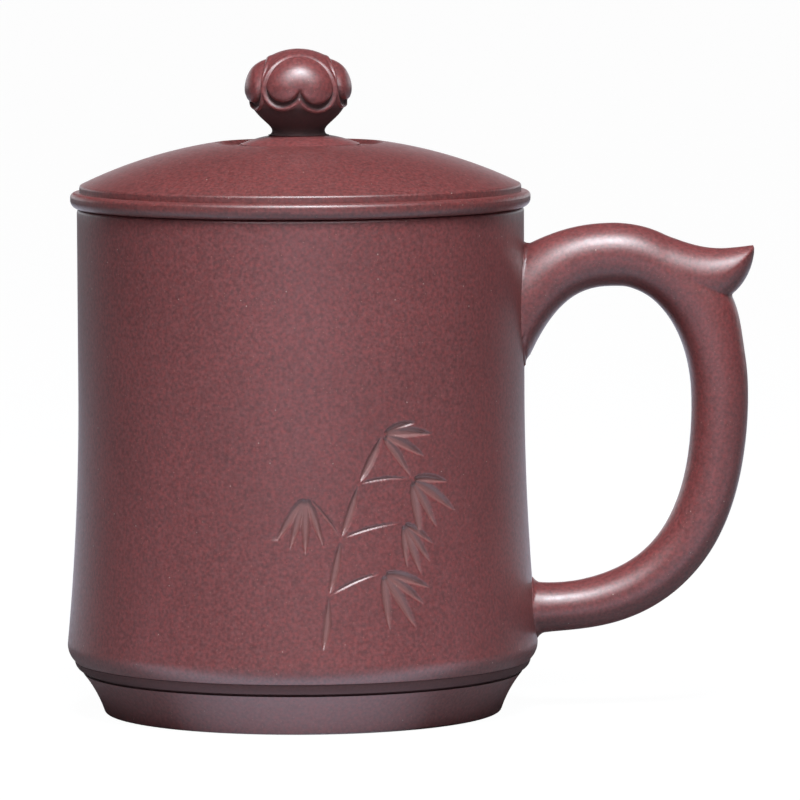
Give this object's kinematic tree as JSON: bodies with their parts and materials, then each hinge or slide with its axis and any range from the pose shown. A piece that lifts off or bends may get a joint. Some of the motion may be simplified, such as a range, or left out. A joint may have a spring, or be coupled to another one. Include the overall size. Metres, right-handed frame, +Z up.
{
  "type": "lidded tea cup",
  "caption": "Straight-sided unglazed clay tea cup with a stepped foot, an ear-shaped handle with a thumb tail, and a domed lift-off lid with a petalled knob.",
  "frame": {"origin": "centre of the foot on the table, where the cup's axis meets the standing plane", "axes": "+Z up along the cup's axis, +X towards the handle, -Y towards the viewer of the picture"},
  "size_m": [0.1307, 0.0894, 0.1259],
  "materials": {
    "cup_clay": "unglazed fine-grained purple-brown clay, satin from handling",
    "foot_clay": "unglazed purple-brown clay, smooth",
    "handle_clay": "unglazed purple-brown clay, satin from handling",
    "lid_clay": "unglazed reddish purple-brown clay, satin",
    "knob_clay": "unglazed purple-brown clay, satin from handling"
  },
  "bodies": {
    "cup": {"body_wall": "cup_clay", "base_disc": "cup_clay", "foot_ring": "foot_clay", "handle_loop": "handle_clay", "thumb_tail": "handle_clay"},
    "lid": {"lid_dome": "lid_clay", "lid_flange": "lid_clay", "lid_skirt": "lid_clay", "knob_seat": "knob_clay", "knob": "knob_clay", "knob_petals": "knob_clay"}
  },
  "joints": [
    {"name": "lid_lift", "type": "slide", "parent": "cup", "child": "lid", "axis": [0, 0, 1], "range_m": [0, 0.1]}
  ]
}
